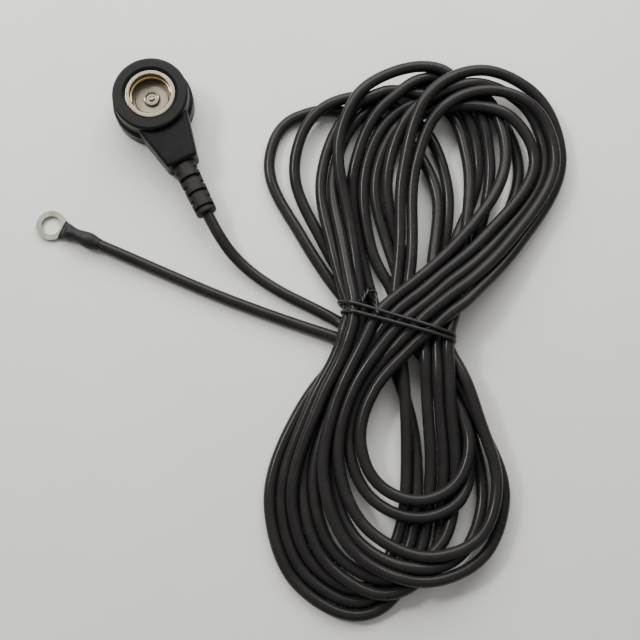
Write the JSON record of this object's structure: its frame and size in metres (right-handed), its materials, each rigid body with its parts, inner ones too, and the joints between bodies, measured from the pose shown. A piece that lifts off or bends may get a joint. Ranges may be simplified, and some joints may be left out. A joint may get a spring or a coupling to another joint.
{
  "type": "grounding cord with snap socket and ring terminal",
  "caption": "Static-control grounding cord: moulded 10 mm snap socket with series resistor, thin black cord tied in a hank, and a ring terminal under heat shrink.",
  "frame": {"origin": "on the snap socket's axis, at the housing's flat underside", "axes": "+Z is the way the socket opens, -Y is the way the cord leaves the housing, +X completes a right-handed frame"},
  "size_m": [0.1346, 0.1551, 0.011],
  "materials": {
    "housing_plastic": "moulded, semi-gloss black",
    "relief_rubber": "satin black",
    "nickel_plate": "warm nickel plate, drawn and tumbled",
    "spring_brass": "bright wire",
    "zinc_steel": "zinc plated",
    "tinned_metal": "tin plated, satin",
    "solder": "bright solder",
    "resistor_coat": "lacquered",
    "copper_strand": "bare copper",
    "cord_jacket": "extruded black jacket, semi-gloss",
    "shrink_tube": "shrunk black tubing, satin",
    "tie_plastic": "black covered tie wire, glossy"
  },
  "bodies": {
    "cord_assembly": {"rear_shell": "housing_plastic", "front_shell": "housing_plastic", "strain_relief": "relief_rubber", "socket_shell": "nickel_plate", "socket_cup": "nickel_plate", "socket_eyelet": "nickel_plate", "backing_washer": "zinc_steel", "solder_tag": "tinned_metal", "solder_joint": "solder", "resistor_body": "resistor_coat", "resistor_caps": "tinned_metal", "resistor_leads": "tinned_metal", "lead_splice": "tinned_metal", "splice_sleeve": "shrink_tube", "snap_conductor": "copper_strand", "cord_tail": "cord_jacket", "snap_lead": "cord_jacket", "cord_hank": "cord_jacket", "ring_lead": "cord_jacket", "heat_shrink": "shrink_tube", "ring_terminal": "tinned_metal", "terminal_conductor": "copper_strand", "tie_wrap": "tie_plastic", "tie_twist": "tie_plastic"},
    "snap_spring": {"retaining_spring": "spring_brass"}
  },
  "joints": [
    {"name": "spring_turn", "type": "hinge", "parent": "cord_assembly", "child": "snap_spring", "pos_m": [0, 0, 0.00883], "axis": [0, 0, 1], "continuous": true}
  ]
}
